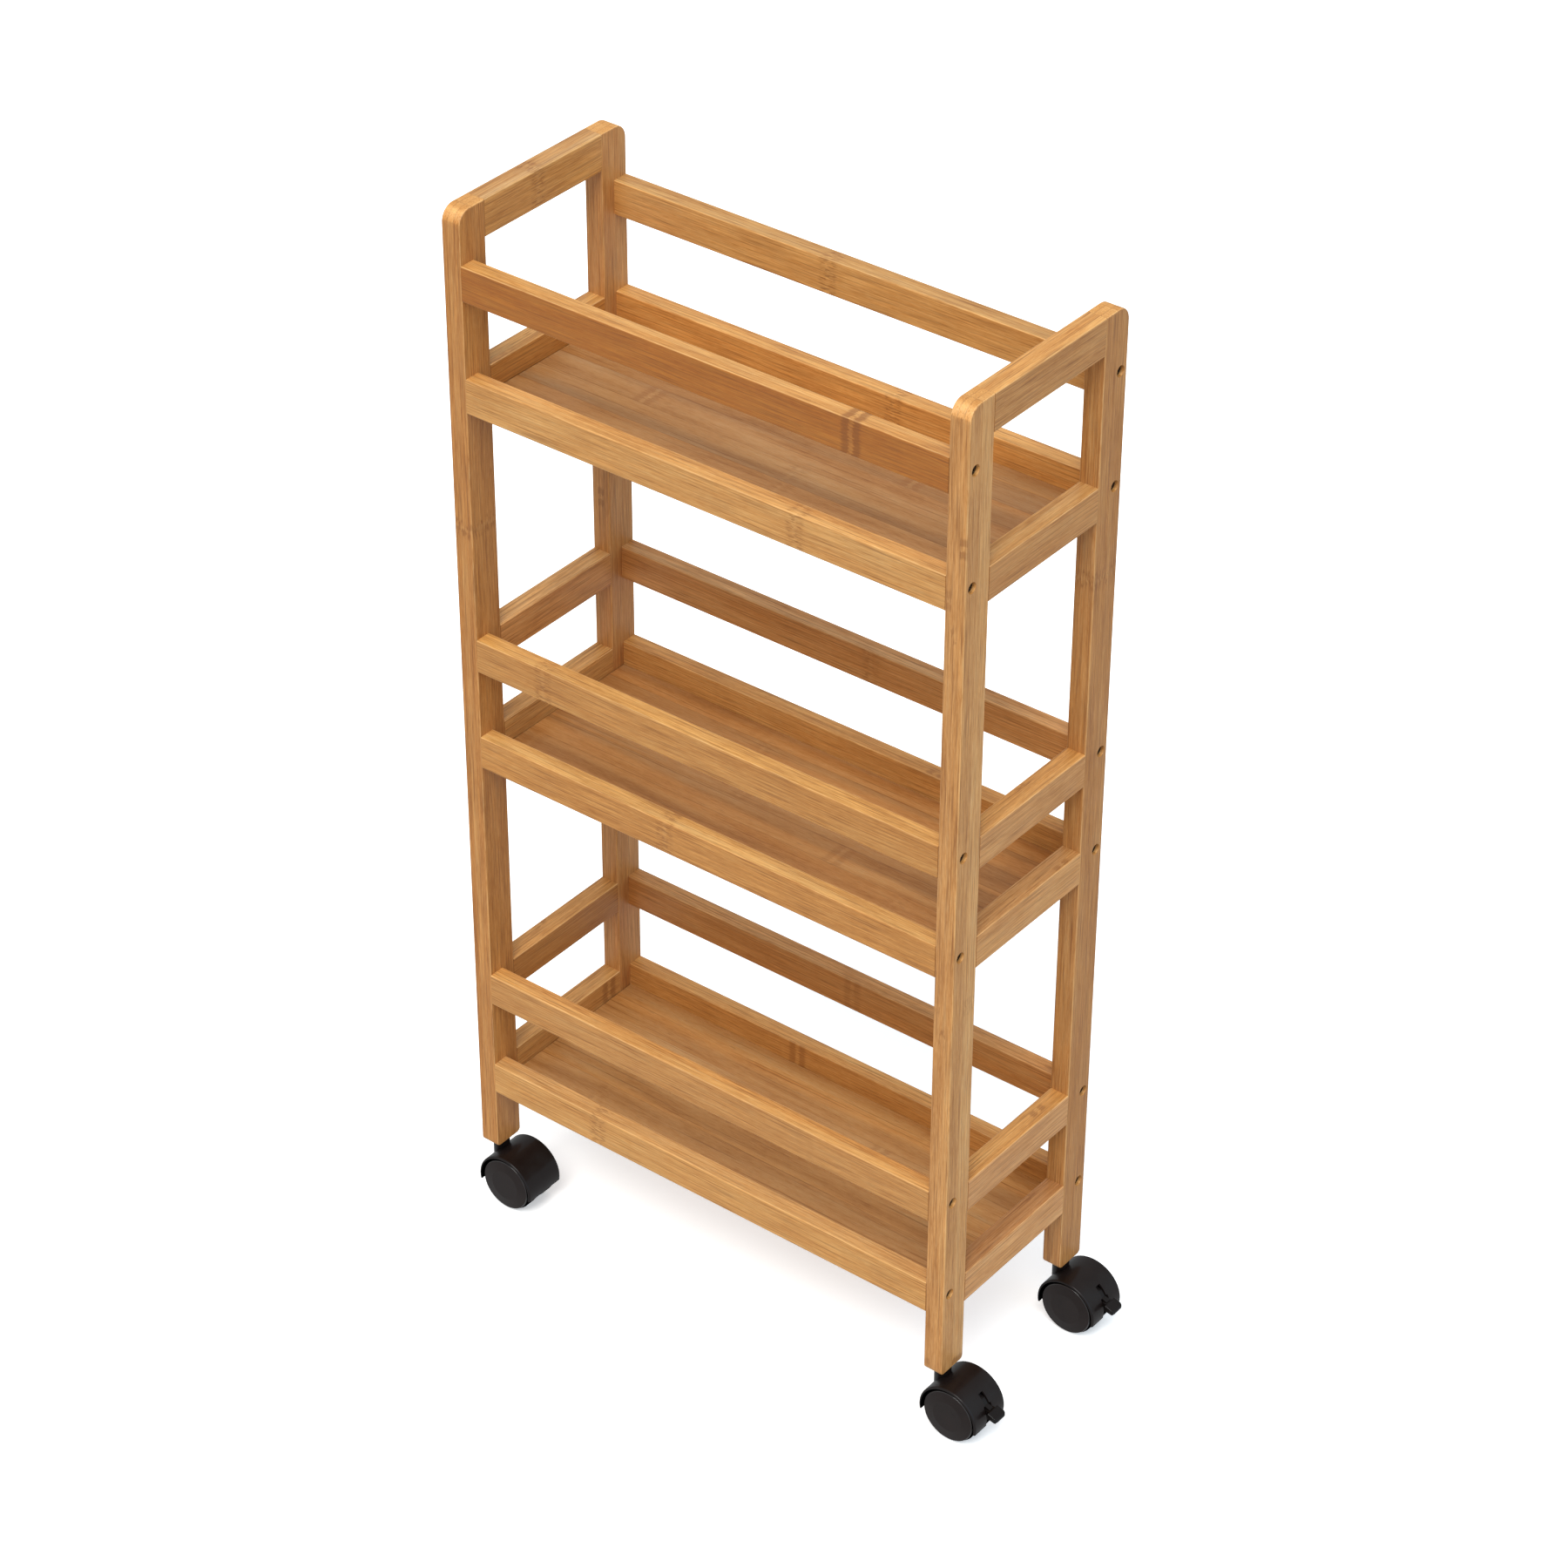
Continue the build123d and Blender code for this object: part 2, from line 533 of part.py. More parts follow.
os.makedirs("parts", exist_ok=True)
save_frame()
save_casters()
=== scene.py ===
import math
from collections import namedtuple

import bmesh
import bpy
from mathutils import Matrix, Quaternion, Vector


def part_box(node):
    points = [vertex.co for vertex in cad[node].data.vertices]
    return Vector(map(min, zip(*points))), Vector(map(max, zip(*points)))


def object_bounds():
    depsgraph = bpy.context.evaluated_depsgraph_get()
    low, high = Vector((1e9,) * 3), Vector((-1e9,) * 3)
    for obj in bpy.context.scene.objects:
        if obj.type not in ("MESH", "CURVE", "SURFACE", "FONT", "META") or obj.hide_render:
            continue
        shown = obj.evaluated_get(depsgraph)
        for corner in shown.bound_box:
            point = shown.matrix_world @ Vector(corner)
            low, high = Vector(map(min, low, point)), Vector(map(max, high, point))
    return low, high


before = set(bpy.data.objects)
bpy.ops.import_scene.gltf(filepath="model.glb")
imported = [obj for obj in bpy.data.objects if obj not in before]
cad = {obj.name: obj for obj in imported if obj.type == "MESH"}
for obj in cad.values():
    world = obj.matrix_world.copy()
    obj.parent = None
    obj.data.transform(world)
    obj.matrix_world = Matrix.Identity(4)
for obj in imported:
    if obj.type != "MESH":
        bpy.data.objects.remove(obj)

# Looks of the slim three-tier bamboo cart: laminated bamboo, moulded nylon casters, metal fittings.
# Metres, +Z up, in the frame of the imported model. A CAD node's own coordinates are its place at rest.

MM = 0.001
AXES = {"X": 0, "Y": 1, "Z": 2}
cad_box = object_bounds()


# ---- small helpers ----

def linear(red, green, blue):
    """An 8-bit display colour as the linear colour that shaders take."""
    def channel(value):
        share = value / 255
        return share / 12.92 if share <= 0.04045 else ((share + 0.055) / 1.055) ** 2.4
    return channel(red), channel(green), channel(blue), 1.0


class Graph:
    """A material's node tree, built by short calls.

    A value is a number, a tuple or another node's output.
    """

    def __init__(self, name):
        self.material = bpy.data.materials.new(name)
        self.material.use_nodes = True
        self.tree = self.material.node_tree
        self.tree.nodes.clear()

    def add(self, kind, **settings):
        node = self.tree.nodes.new(kind)
        for key, value in settings.items():
            setattr(node, key, value)
        return node

    def feed(self, socket, value):
        if isinstance(value, bpy.types.NodeSocket):
            self.tree.links.new(value, socket)
        else:
            socket.default_value = value

    def math(self, operation, first, second=0.0, clamp=False):
        node = self.add("ShaderNodeMath", operation=operation, use_clamp=clamp)
        self.feed(node.inputs[0], first)
        self.feed(node.inputs[1], second)
        return node.outputs[0]

    def total(self, *values):
        result = values[0]
        for value in values[1:]:
            result = self.math("ADD", result, value)
        return result

    def vector(self, x, y, z):
        node = self.add("ShaderNodeCombineXYZ")
        for socket, value in zip(node.inputs, (x, y, z)):
            self.feed(socket, value)
        return node.outputs[0]

    def split(self, vector):
        node = self.add("ShaderNodeSeparateXYZ")
        self.feed(node.inputs[0], vector)
        return list(node.outputs)

    def object_point(self):
        return self.add("ShaderNodeTexCoord").outputs["Object"]

    def object_normal(self):
        return self.add("ShaderNodeTexCoord").outputs["Normal"]

    def facing(self, axis):
        """1 on faces square to an axis, 0 on faces along it."""
        return self.math("ABSOLUTE", self.split(self.object_normal())[AXES[axis]])

    def length(self, vector):
        node = self.add("ShaderNodeVectorMath", operation="LENGTH")
        self.feed(node.inputs[0], vector)
        return node.outputs["Value"]

    def noise(self, vector, scale=1.0, detail=2.0, roughness=0.5):
        node = self.add("ShaderNodeTexNoise")
        self.feed(node.inputs["Vector"], vector)
        self.feed(node.inputs["Scale"], scale)
        self.feed(node.inputs["Detail"], detail)
        self.feed(node.inputs["Roughness"], roughness)
        return node.outputs["Fac"]

    def chance(self, vector):
        """Three independent random numbers that are constant wherever the vector is."""
        node = self.add("ShaderNodeTexWhiteNoise", noise_dimensions="3D")
        self.feed(node.inputs["Vector"], vector)
        return self.split(node.outputs["Color"])

    def ramp(self, value, start, end, low=0.0, high=1.0):
        """A smooth step from low at start to high at end."""
        node = self.add("ShaderNodeMapRange", interpolation_type="SMOOTHSTEP")
        for socket, number in zip(node.inputs, (value, start, end, low, high)):
            self.feed(socket, number)
        return node.outputs[0]

    def spread(self, value, low, high):
        """A noise value stretched linearly from its usual middle range to low .. high."""
        node = self.add("ShaderNodeMapRange")
        for socket, number in zip(node.inputs, (value, 0.3, 0.7, low, high)):
            self.feed(socket, number)
        return node.outputs[0]

    def mix(self, share, first, second, blend="MIX"):
        node = self.add("ShaderNodeMix", data_type="RGBA", blend_type=blend)
        self.feed(node.inputs[0], share)
        self.feed(node.inputs[6], first)
        self.feed(node.inputs[7], second)
        return node.outputs[2]

    def tones(self, value, stops):
        """A colour ramp through (place, colour) stops."""
        node = self.add("ShaderNodeValToRGB")
        elements = node.color_ramp.elements
        while len(elements) < len(stops):
            elements.new(0.5)
        for element, (place, colour) in zip(elements, stops):
            element.position = place
            element.color = colour
        self.feed(node.inputs[0], value)
        return node.outputs[0]

    def bump(self, height, strength, distance):
        node = self.add("ShaderNodeBump")
        self.feed(node.inputs["Strength"], strength)
        self.feed(node.inputs["Distance"], distance)
        self.feed(node.inputs["Height"], height)
        return node.outputs["Normal"]

    def surface(self, **inputs):
        """The shader and the output. Keys are the shader's socket names with _ for a space."""
        shader = self.add("ShaderNodeBsdfPrincipled")
        for key, value in inputs.items():
            self.feed(shader.inputs[key.replace("_", " ")], value)
        output = self.add("ShaderNodeOutputMaterial")
        self.tree.links.new(shader.outputs[0], output.inputs[0])
        return self.material


def rounding(graph):
    """0 on flat faces, 1 where the surface turns between two axes, as on every eased edge."""
    x, y, z = [graph.facing(axis) for axis in AXES]
    largest = graph.math("MAXIMUM", graph.math("MAXIMUM", x, y), z)
    return graph.ramp(largest, 0.985, 0.80)


# ---- laminated bamboo ----

BAMBOO_TONES = (
    (0.00, linear(164, 102, 46)),
    (0.28, linear(201, 138, 69)),
    (0.52, linear(225, 163, 91)),
    (0.78, linear(239, 183, 111)),
    (1.00, linear(248, 200, 132)),
)
MIDDLE_TONE = 0.56
PALE_STRIP = linear(250, 236, 200)
FIBRE_DARK = linear(138, 82, 36)
KNUCKLE_DARK = linear(128, 72, 30)
KNUCKLE_LIGHT = linear(244, 196, 128)
GLUE_DARK = linear(112, 66, 30)
END_GRAIN_DARK = linear(146, 94, 48)
# Painted highlight along the eased edges.
EDGE_HIGHLIGHT = linear(246, 204, 144)
FULL = (1.0, 1.0, 1.0, 1.0)
WEATHERED = (0.74, 0.76, 0.84, 1.0)    # the greyer stripes of the flat boards
KNUCKLE_PITCH = 0.31               # from one node of the stalk to the next, along a strip

# How a piece is cut: how far whole strips and the streaks in them differ in tone, the streaks' width,
# the length and width of the dark veins, and how strongly dark lines and knuckles show.
Cut = namedtuple("Cut", "strips streaks streak_width vein_length vein_width lines knuckles")
BAR = Cut(0.26, 0.08, 3.2 * MM, 45 * MM, 1.0 * MM, 0.37, 1.0)
BOARD = Cut(0.18, 0.16, 9.0 * MM, 120 * MM, 1.5 * MM, 0.44, 0.6)


def strip_line(graph, coordinate, pitch):
    """The strip's number across one direction, and the distance to its nearest glue line."""
    count = graph.math("MULTIPLY", coordinate, 1 / pitch)
    number = graph.math("FLOOR", count)
    share = graph.math("FRACT", count)
    from_middle = graph.math("ABSOLUTE", graph.math("SUBTRACT", share, 0.5))
    distance = graph.math("MULTIPLY", graph.math("SUBTRACT", 0.5, from_middle), pitch)
    return number, distance


class Strips:
    """The glued strips of one piece: where a point lies along and across them, and in which strip.

    The layout is (grain axis, wide axis, thin axis, wide pitch, thin pitch), counted from the low
    corner. Each strip has its own cell number, tone and hue, and its own stretch of the stalk.
    """

    def __init__(self, graph, low, layout, seed):
        grain, wide, thin, wide_pitch, thin_pitch = layout
        point = graph.split(graph.object_point())
        self.graph = graph
        self.seed = seed
        self.place = point[AXES[grain]]
        self.across = graph.math("SUBTRACT", point[AXES[wide]], low[AXES[wide]])
        self.deep = graph.math("SUBTRACT", point[AXES[thin]], low[AXES[thin]])
        wide_number, wide_glue = strip_line(graph, self.across, wide_pitch)
        thin_number, thin_glue = strip_line(graph, self.deep, thin_pitch)
        self.from_glue = graph.math("MINIMUM", wide_glue, thin_glue)
        draw = graph.vector(wide_number, thin_number, float(seed))
        self.tone, slide, self.hue = graph.chance(draw)
        cell = graph.math("ADD", thin_number, 31.0 * seed)
        self.cell = graph.math("ADD", graph.math("MULTIPLY", wide_number, 7.0), cell)
        self.along = graph.math("ADD", self.place, graph.math("MULTIPLY", slide, 5.0))
        swing = graph.vector(graph.math("MULTIPLY", self.along, 6.0), self.cell, 0.0)
        wave = graph.noise(swing, detail=1.0)
        self.bent = graph.math("ADD", self.across, graph.math("MULTIPLY", wave, 4 * MM))

    def noise(self, length, width, detail, salt):
        """Noise in spots of a length along the grain and a width across it."""
        graph = self.graph
        side = graph.math("MULTIPLY", self.bent, 1 / width)
        stretched = graph.vector(
            graph.math("MULTIPLY", self.along, 1 / length),
            graph.math("ADD", side, self.seed * salt),
            graph.math("MULTIPLY", self.deep, 1 / width),
        )
        return graph.noise(stretched, detail=detail, roughness=0.6)


def strip_colour(graph, strips, cut, vein, fibre, fine):
    """The strip's own tone and hue, with broad streaks, clouds and dark fibre lines."""
    streak = strips.noise(220 * MM, cut.streak_width, 2.0, 3.7)
    along = graph.math("MULTIPLY", strips.along, 13.0)
    side = graph.math("MULTIPLY", strips.bent, 70.0)
    cloud = graph.noise(graph.vector(along, side, strips.cell), detail=2.0)
    shade = graph.total(
        graph.spread(streak, -cut.streaks, cut.streaks),
        graph.spread(fibre, -0.17, 0.17),
        graph.spread(fine, -0.10, 0.10),
        graph.spread(cloud, -0.12, 0.12),
        graph.math("MULTIPLY", graph.math("SUBTRACT", strips.tone, 0.5), cut.strips),
        MIDDLE_TONE,
    )
    colour = graph.tones(shade, BAMBOO_TONES)
    thin_lines = graph.ramp(fibre, 0.56, 0.72, 0.0, 0.9)
    lines = graph.math("MAXIMUM", graph.ramp(vein, 0.60, 0.74), thin_lines)
    colour = graph.mix(graph.math("MULTIPLY", lines, cut.lines), colour, FIBRE_DARK)
    return graph.mix(graph.math("MULTIPLY", strips.hue, 0.35), colour, PALE_STRIP, "MULTIPLY")


def tint_bar(graph, colour, tint, top_painted_light):
    """One tint on the upright faces, another on the upward ones: the upright faces carry the piece's
    own tone with painted shade, the upward ones painted light and shade.
    """
    upward = graph.facing("Z")
    colour = graph.mix(graph.ramp(upward, 0.90, 0.60), colour, tint, "MULTIPLY")
    return graph.mix(graph.ramp(upward, 0.60, 0.90), colour, top_painted_light, "MULTIPLY")


def tint_board(graph, strips, colour, tint):
    """One tint all over, the board's own tone with painted shade, then broad greyer stripes."""
    colour = graph.mix(1.0, colour, tint, "MULTIPLY")
    broad = strips.noise(700 * MM, 26 * MM, 0.0, 6.1)
    return graph.mix(graph.ramp(broad, 0.40, 0.58, 0.0, 0.85), colour, WEATHERED, "MULTIPLY")


def chance_knuckle(graph, strips):
    """Distance from a strip's nearest knuckle, with that knuckle's strength and kind, by luck."""
    count = graph.math("MULTIPLY", strips.along, 1 / KNUCKLE_PITCH)
    number = graph.math("FLOOR", count)
    share = graph.math("SUBTRACT", graph.math("FRACT", count), 0.5)
    draw = graph.vector(graph.math("ADD", strips.cell, number), number, strips.cell)
    luck, kind, _spare = graph.chance(draw)
    strength = graph.ramp(luck, 0.15, 0.90, 0.10, 0.8)
    return graph.math("MULTIPLY", share, KNUCKLE_PITCH), strength, kind


def knuckle_marks(graph, strips, knuckle):
    """Masks of the dark bands and the pale middle where a strip crosses a node of the stalk.

    Kind 0 is a pair of dark rings, kind 1 a patch of short dark dashes.
    """
    if knuckle:
        place, kind = knuckle
        offset = graph.math("SUBTRACT", strips.place, place)
        strength = 1.0
    else:
        offset, strength, kind = chance_knuckle(graph, strips)
    ragged = strips.noise(40 * MM, 1.3 * MM, 2.0, 9.7)
    dashes = strips.noise(7 * MM, 1.5 * MM, 1.0, 4.9)
    shift = graph.spread(ragged, -1.4 * MM, 1.4 * MM)
    distance = graph.math("ABSOLUTE", graph.math("ADD", offset, shift))
    inner = graph.ramp(distance, 1.2 * MM, 2.4 * MM)
    ring = graph.math("MULTIPLY", inner, graph.ramp(distance, 8.6 * MM, 5.6 * MM))
    near = graph.ramp(distance, 8.5 * MM, 4.5 * MM)
    field = graph.math("MULTIPLY", near, graph.ramp(dashes, 0.50, 0.60))
    ringed = graph.math("MULTIPLY", ring, graph.ramp(kind, 0.70, 0.35, 0.08, 0.75))
    dashed = graph.math("MULTIPLY", field, graph.ramp(kind, 0.25, 0.60, 0.35, 0.62))
    dark = graph.math("MULTIPLY", graph.math("MAXIMUM", ringed, dashed), strength)
    middle = graph.ramp(distance, 2.2 * MM, 0.8 * MM)
    pale = graph.math("MULTIPLY", middle, graph.math("MULTIPLY", strength, 0.6))
    return dark, pale


def end_grain(graph, strips, colour, end_face):
    """Darker cut ends, speckled by the stalk's tubes."""
    tubes = [graph.math("MULTIPLY", part, 1500.0) for part in (strips.across, strips.deep)]
    pores = graph.noise(graph.vector(strips.along, *tubes))
    share = graph.math("MULTIPLY", end_face, graph.spread(pores, 0.20, 0.60))
    return graph.mix(share, colour, END_GRAIN_DARK)


def lacquer_roughness(graph, fibre, end_face):
    """Satin lacquer: cloudy, a little rougher on fibres, rougher still on cut ends."""
    cloud = graph.noise(graph.object_point(), scale=55.0, detail=3.0)
    roughness = graph.total(graph.spread(cloud, 0.44, 0.56), graph.spread(fibre, -0.03, 0.05))
    return graph.math("ADD", roughness, graph.math("MULTIPLY", end_face, 0.15))


def bamboo(name, low, layout, seed, tint, top_painted_light=FULL, cut=BAR, knuckle=None):
    """Lacquered strips glued side by side, as Strips lays them out.

    A knuckle given as (place, kind) stands at that place along the grain and crosses every strip;
    without one they fall by luck.
    """
    graph = Graph(name)
    strips = Strips(graph, low, layout, seed)
    vein = strips.noise(cut.vein_length, cut.vein_width, 1.0, 7.3)
    fibre = strips.noise(13 * MM, 0.85 * MM, 2.0, 5.1)
    fine = strips.noise(6 * MM, 0.4 * MM, 1.0, 2.3)

    colour = strip_colour(graph, strips, cut, vein, fibre, fine)
    # Tints: the piece's own tone mixed with painted shade and sheen; the upward faces of bars get
    # painted light of their own.
    if cut is BOARD:
        colour = tint_board(graph, strips, colour, tint)
    else:
        colour = tint_bar(graph, colour, tint, top_painted_light)

    dark, pale = knuckle_marks(graph, strips, knuckle)
    colour = graph.mix(graph.math("MULTIPLY", pale, 0.14 * cut.knuckles), colour, KNUCKLE_LIGHT)
    colour = graph.mix(graph.math("MULTIPLY", dark, 0.80 * cut.knuckles), colour, KNUCKLE_DARK)

    glue = graph.ramp(strips.from_glue, 0.50 * MM, 0.15 * MM)
    glue_share = graph.math("MULTIPLY", glue, graph.spread(vein, 0.15, 0.55))
    colour = graph.mix(glue_share, colour, GLUE_DARK)

    end_face = graph.ramp(graph.facing(layout[0]), 0.75, 0.97)
    colour = end_grain(graph, strips, colour, end_face)
    # Painted highlight: every eased edge paler, broken up by the fibres.
    edge_highlight = graph.math("MULTIPLY", rounding(graph), graph.spread(fibre, 0.05, 0.28))
    colour = graph.mix(edge_highlight, colour, EDGE_HIGHLIGHT)

    height = graph.math("ADD", graph.math("MULTIPLY", fibre, 0.6), graph.math("MULTIPLY", fine, 0.4))
    height = graph.math("SUBTRACT", height, graph.math("MULTIPLY", glue, 0.5))
    height = graph.math("SUBTRACT", height, graph.math("MULTIPLY", dark, 0.4))
    return graph.surface(
        Base_Color=colour,
        Roughness=lacquer_roughness(graph, fibre, end_face),
        Specular_IOR_Level=0.30,
        Coat_Weight=0.08,
        Coat_Roughness=0.35,
        Normal=graph.bump(height, 0.5, 0.06 * MM),
    )


# ---- moulded plastic and metal ----

# Casters: painted shade in the gap behind each disc and inside each hood.
PAINTED_HOLLOW_SHADE = linear(4, 4, 4)
HOOD_INSIDE = (22.7 * MM, 22.4 * MM)       # distances from the axle: from shiny to painted shade, inwards
BEHIND_DISC = (20.15 * MM, 20.35 * MM)     # the same outwards: past the disc come the gap and the tread, both in painted shade


def from_axle(graph, axle):
    """Distance from an axle that lies along Y."""
    x, _y, z = graph.split(graph.object_point())
    return graph.length(graph.vector(
        graph.math("SUBTRACT", x, axle.x),
        0.0,
        graph.math("SUBTRACT", z, axle.z),
    ))


def moulded(name, colour, roughness, texture_size, strength, rub_and_glint=1.7, polish=0.0, dull=None):
    """Injection-moulded nylon: slight tone clouds, spark-eroded texture, edges paler: partly rubbed,
    partly a painted glint.

    Polish is how much the edges shine. Dull, given as (axle, start, end), is where the distance
    from the axle leads from shiny faces to dull black ones: painted shade in the caster's hollows.
    """
    graph = Graph(name)
    point = graph.object_point()
    cloud = graph.noise(point, scale=90.0, detail=3.0)
    grit = graph.noise(point, scale=1 / texture_size, detail=2.0, roughness=0.6)
    edge = rounding(graph)
    darker = tuple(0.75 * part for part in colour[:3]) + (1.0,)
    # Edges paler: rubbed nylon, and where the gain is large, as on the wheels, a painted glint along
    # the rim.
    grey = rub_and_glint * sum(colour[:3]) / 3
    rubbed_and_glint = (grey, grey, grey, 1.0)
    base = graph.mix(graph.spread(cloud, 0.0, 1.0), darker, colour)
    base = graph.mix(graph.math("MULTIPLY", edge, graph.spread(cloud, 0.1, 0.5)), base, rubbed_and_glint)
    rough = graph.spread(cloud, roughness - 0.05, roughness + 0.05)
    rough = graph.math("ADD", rough, graph.spread(grit, -0.04, 0.04))
    shine = 0.11
    gleam = graph.math("ADD", 0.20, graph.math("MULTIPLY", edge, polish))
    # Painted shade: the gap behind the disc and the inside of the hood turn dull black and lose their
    # shine.
    if dull:
        axle, start, end = dull
        painted_shade_share = graph.ramp(from_axle(graph, axle), start, end)
        shininess = graph.math("SUBTRACT", 1.0, painted_shade_share)
        base = graph.mix(painted_shade_share, base, PAINTED_HOLLOW_SHADE)
        shine = graph.math("MULTIPLY", shininess, shine)
        gleam = graph.math("MULTIPLY", shininess, gleam)
    return graph.surface(
        Base_Color=base,
        Roughness=rough,
        Specular_IOR_Level=shine,
        Coat_Weight=gleam,
        Coat_Roughness=0.14,
        Normal=graph.bump(grit, strength, 0.02 * MM),
    )


def plated(name, colour, roughness):
    """Plated metal: fine turning marks, patches of duller plating."""
    graph = Graph(name)
    point = graph.object_point()
    patch = graph.noise(point, scale=700.0, detail=3.0)
    scratch = graph.noise(point, scale=4000.0, detail=1.0)
    dull = tuple(0.62 * part for part in colour[:3]) + (1.0,)
    base = graph.mix(graph.spread(patch, 0.0, 0.8), colour, dull)
    rough = graph.spread(patch, roughness - 0.06, roughness + 0.10)
    rough = graph.math("ADD", rough, graph.spread(scratch, -0.03, 0.03))
    return graph.surface(
        Base_Color=base,
        Metallic=1.0,
        Roughness=rough,
        Normal=graph.bump(scratch, 0.25, 0.01 * MM),
    )


# ---- dressing the CAD nodes ----

def paint(node, material):
    for place in cad[node].material_slots:
        place.material = material


# Upright faces of bars are multiplied darker than the upward faces: painted shade.
UPRIGHT_PAINTED_SHADE = (0.93, 0.90, 0.88, 1.0)
TINTS = {                          # the pieces that differ from the rest: their own tone, mixed with painted shade (the boards, shaded by the rails and shelves above) and a painted bluish sheen (the right-hand pieces)
    "front_upper_guard_rail": (0.58, 0.38, 0.16, 1.0),
    "front_middle_guard_rail": (0.84, 0.79, 0.74, 1.0),
    "front_lower_guard_rail": (0.84, 0.79, 0.76, 1.0),
    "rear_upper_shelf_rail": (1.00, 0.90, 0.78, 1.0),
    "rear_middle_guard_rail": (0.86, 0.73, 0.68, 1.0),
    "rear_lower_guard_rail": (0.82, 0.70, 0.64, 1.0),
    "right_handle_rail": (0.80, 0.76, 0.80, 1.0),
    "right_upper_shelf_end_rail": (0.82, 0.77, 0.82, 1.0),
    "left_upper_shelf_end_rail": (0.84, 0.68, 0.48, 1.0),
    "left_middle_guard_end_rail": (0.92, 0.81, 0.80, 1.0),
    "left_lower_guard_end_rail": (0.65, 0.54, 0.44, 1.0),
    "right_middle_guard_end_rail": (0.90, 0.86, 0.95, 1.0),
    "right_middle_shelf_end_rail": (0.93, 0.90, 1.02, 1.0),
    "right_lower_guard_end_rail": (0.97, 0.96, 1.22, 1.0),
    "right_lower_shelf_end_rail": (1.02, 1.00, 1.25, 1.0),
    "right_front_post": (0.95, 0.95, 1.08, 1.0),
    "left_front_post": (0.82, 0.74, 0.70, 1.0),
    "left_rear_post": (0.80, 0.70, 0.66, 1.0),
    "right_rear_post": (0.74, 0.67, 0.66, 1.0),
    "upper_shelf_panel": (0.55, 0.52, 0.60, 1.0),
    "middle_shelf_panel": (0.66, 0.60, 0.61, 1.0),
    "lower_shelf_panel": (0.70, 0.65, 0.64, 1.0),
}
TOP_PAINTED_LIGHT = {                      # painted light and shade on the upward faces, piece by piece
    "left_handle_rail": (0.80, 0.84, 1.00, 1.0),
    "rear_upper_guard_rail": (0.84, 0.92, 1.06, 1.0),
    "right_upper_shelf_end_rail": (0.86, 0.90, 1.00, 1.0),
    "right_middle_shelf_end_rail": (0.82, 0.84, 1.00, 1.0),
    "right_lower_shelf_end_rail": (0.70, 0.66, 0.80, 1.0),
    "front_lower_shelf_rail": (0.88, 0.90, 1.00, 1.0),
    "front_middle_guard_rail": (1.10, 1.18, 1.20, 1.0),
    "front_middle_shelf_rail": (1.03, 1.14, 1.25, 1.0),
    "left_middle_guard_end_rail": (1.12, 1.20, 1.45, 1.0),
    "rear_middle_guard_rail": (1.12, 1.12, 1.35, 1.0),
    "rear_lower_guard_rail": (1.12, 1.12, 1.30, 1.0),
}
RINGS, DASHES = 0.0, 1.0
KNUCKLES = {                       # the knuckles that catch the eye: share of the length, and kind
    "front_upper_guard_rail": (0.81, RINGS),
    "front_upper_shelf_rail": (0.70, DASHES),
    "front_middle_guard_rail": (0.15, DASHES),
    "front_middle_shelf_rail": (0.42, DASHES),
    "front_lower_shelf_rail": (0.25, DASHES),
    "rear_upper_guard_rail": (0.46, DASHES),
    "rear_upper_shelf_rail": (0.60, DASHES),
    "left_handle_rail": (0.45, DASHES),
    "right_handle_rail": (-1.0, DASHES),       # beyond its end, so this rail shows none
    "left_front_post": (0.69, DASHES),
    "right_rear_post": (0.75, DASHES),
}


def dress_wood():
    """Every wooden node gets strips that fit its own faces, with its own draw of tones."""
    wooden = [n for n in sorted(cad) if n.endswith(("_post", "_rail", "_panel"))]
    for seed, name in enumerate(wooden, start=1):
        low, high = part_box(name)
        size = high - low
        if name.endswith("_post"):
            layout = ("Z", "Y", "X", size.y / 2, size.x / 3)
        elif name.endswith("_panel"):
            layout = ("X", "Y", "Z", size.y / 7, size.z * 2)
        elif name.startswith(("left", "right")):
            layout = ("Y", "Z", "X", size.z, size.x / 3)
        else:
            layout = ("X", "Z", "Y", size.z, size.y / 2)
        tint = TINTS.get(name, UPRIGHT_PAINTED_SHADE)
        top_painted_light = TOP_PAINTED_LIGHT.get(name, FULL)
        knuckle = None
        if name in KNUCKLES:
            share, kind = KNUCKLES[name]
            axis = AXES[layout[0]]
            knuckle = (low[axis] + share * size[axis], kind)
        cut = BOARD if name.endswith("_panel") else BAR
        paint(name, bamboo(f"bamboo_{name}", low, layout, seed, tint, top_painted_light, cut, knuckle))


def dress_metal():
    # The screw heads are much darker than bare zinc: painted shade of the deep recesses they sit in.
    paint("frame_screws", plated("zinc_plate", linear(66, 64, 62), 0.34))
    paint("stem_inserts", plated("insert_brass_plate", linear(212, 176, 104), 0.32))
    paint("caster_stems", plated("stem_zinc_plate", linear(180, 182, 186), 0.28))
    bright = plated("axle_bright_steel", linear(190, 192, 196), 0.22)
    for name in cad:
        if name.endswith(("_axle", "_brake_pin")):
            paint(name, bright)


def dress_dowels():
    low, _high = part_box("frame_dowels")
    layout = ("Y", "X", "Z", 10 * MM, 10 * MM)
    paint("frame_dowels", bamboo("beech_dowels", low, layout, 99, UPRIGHT_PAINTED_SHADE))


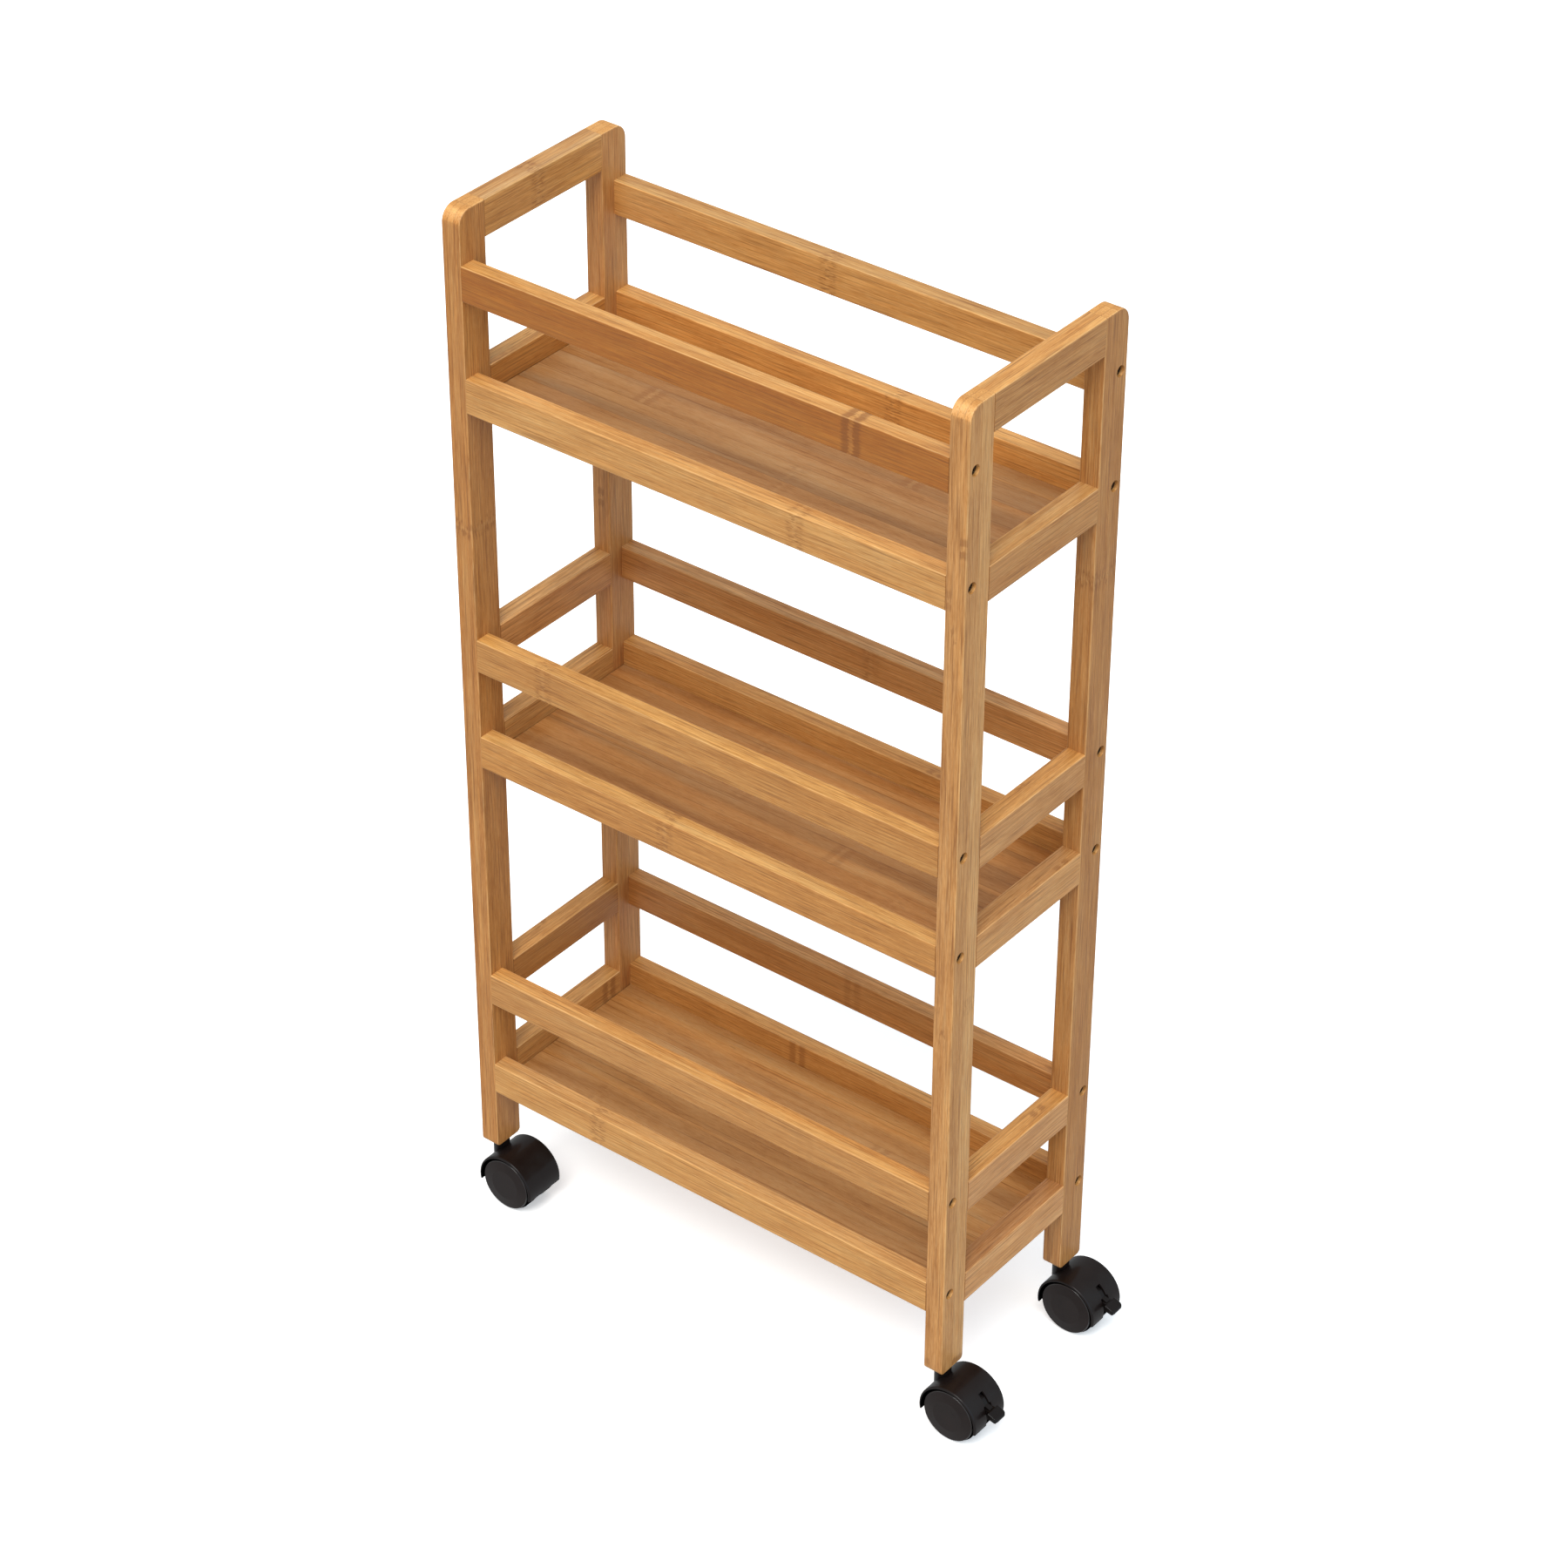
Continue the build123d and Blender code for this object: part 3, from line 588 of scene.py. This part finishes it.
def dress_plastic():
    """Black nylon for each caster's hood, wheels and lever, with painted shade inside the hood, in the
    gap behind the discs and on the treads.
    """
    lever = moulded("lever_nylon", linear(18, 13, 12), 0.40, 0.5 * MM, 0.3)
    for axle_name in [n for n in sorted(cad) if n.endswith("_axle")]:
        caster = axle_name.removesuffix("_axle")
        low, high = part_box(axle_name)
        axle = (low + high) / 2
        hood = moulded(
            f"hood_nylon_{caster}", linear(25, 17, 15), 0.42, 0.5 * MM, 0.3,
            dull=(axle, *HOOD_INSIDE),
        )
        # The wheels: a strong painted glint along the disc rim.
        wheel = moulded(
            f"wheel_nylon_{caster}", linear(29, 19, 16), 0.34, 0.4 * MM, 0.25,
            rub_and_glint=9.0, polish=0.80, dull=(axle, *BEHIND_DISC),
        )
        paint(f"{caster}_hood", hood)
        paint(f"{caster}_front_wheel", wheel)
        paint(f"{caster}_rear_wheel", wheel)
        if f"{caster}_brake_lever" in cad:
            paint(f"{caster}_brake_lever", lever)


# ---- studio ----

AZIMUTH = math.radians(37.77)
ELEVATION = math.radians(34.735)
ROLL = math.radians(0.217)
DISTANCE = 3.033
LENS = 103.2
AIM_Y = 6.9 * MM                   # the point aimed at lies this far behind the cart's middle
SKY = (0.95, 0.98, 1.0, 1.0)
SKY_STRENGTH = 0.70
WARM_WHITE = (1.0, 0.99, 0.96)
COOL_BLUE = (0.35, 0.68, 1.0)
FLOOR_HALF = 14.0


def make_camera():
    data = bpy.data.cameras.new("camera")
    data.lens = LENS
    data.sensor_width = 36.0
    camera = bpy.data.objects.new("camera", data)
    bpy.context.scene.collection.objects.link(camera)
    low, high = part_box("front_upper_guard_rail")
    target = Vector(((low.x + high.x) / 2, AIM_Y, cad_box[1].z / 2))
    back = Vector((
        math.sin(AZIMUTH) * math.cos(ELEVATION),
        -math.cos(AZIMUTH) * math.cos(ELEVATION),
        math.sin(ELEVATION),
    ))
    camera.location = target + DISTANCE * back
    camera.rotation_mode = "QUATERNION"
    camera.rotation_quaternion = (-back).to_track_quat("-Z", "Y") @ Quaternion((0, 0, 1), ROLL)
    bpy.context.scene.camera = camera


def soft_sun(name, heading, height, strength, spread, colour):
    """Even light from a wide patch of sky.

    Degrees: compass heading from +Y towards +X, height above the horizon, width of the patch.
    """
    data = bpy.data.lights.new(name, "SUN")
    data.energy = strength
    data.angle = math.radians(spread)
    data.color = colour
    lamp = bpy.data.objects.new(name, data)
    bpy.context.scene.collection.objects.link(lamp)
    turn, rise = math.radians(heading), math.radians(height)
    toward = Vector((math.sin(turn) * math.cos(rise), math.cos(turn) * math.cos(rise), math.sin(rise)))
    lamp.rotation_mode = "QUATERNION"
    lamp.rotation_quaternion = (-toward).to_track_quat("-Z", "Y")


def make_studio():
    world = bpy.data.worlds.new("studio")
    world.use_nodes = True
    background = world.node_tree.nodes["Background"]
    background.inputs["Color"].default_value = SKY
    background.inputs["Strength"].default_value = SKY_STRENGTH
    bpy.context.scene.world = world
    bpy.context.scene.view_settings.view_transform = "Standard"
    soft_sun("key", heading=160, height=58, strength=2.6, spread=34, colour=WARM_WHITE)
    soft_sun("side", heading=95, height=20, strength=0.95, spread=70, colour=COOL_BLUE)


def make_floor():
    """A plain pale floor under the cart."""
    mesh = bpy.data.meshes.new("floor")
    shape = bmesh.new()
    bmesh.ops.create_grid(shape, x_segments=8, y_segments=8, size=FLOOR_HALF)
    shape.to_mesh(mesh)
    shape.free()
    floor = bpy.data.objects.new("floor", mesh)
    bpy.context.scene.collection.objects.link(floor)
    floor.location.z = cad_box[0].z
    graph = Graph("pale_floor")
    grain = graph.noise(graph.object_point(), scale=3.0, detail=2.0)
    colour = graph.mix(grain, linear(248, 248, 248), linear(252, 252, 252))
    mesh.materials.append(graph.surface(
        Base_Color=colour,
        Roughness=0.65,
        Specular_IOR_Level=0.2,
        Emission_Color=colour,
        Emission_Strength=0.40,
    ))
    floor.visible_diffuse = False      # no bounce light from it on the cart
    floor.visible_glossy = False       # and no bright sheen on the black casters


make_camera()
make_studio()
make_floor()
dress_wood()
dress_dowels()
dress_metal()
dress_plastic()
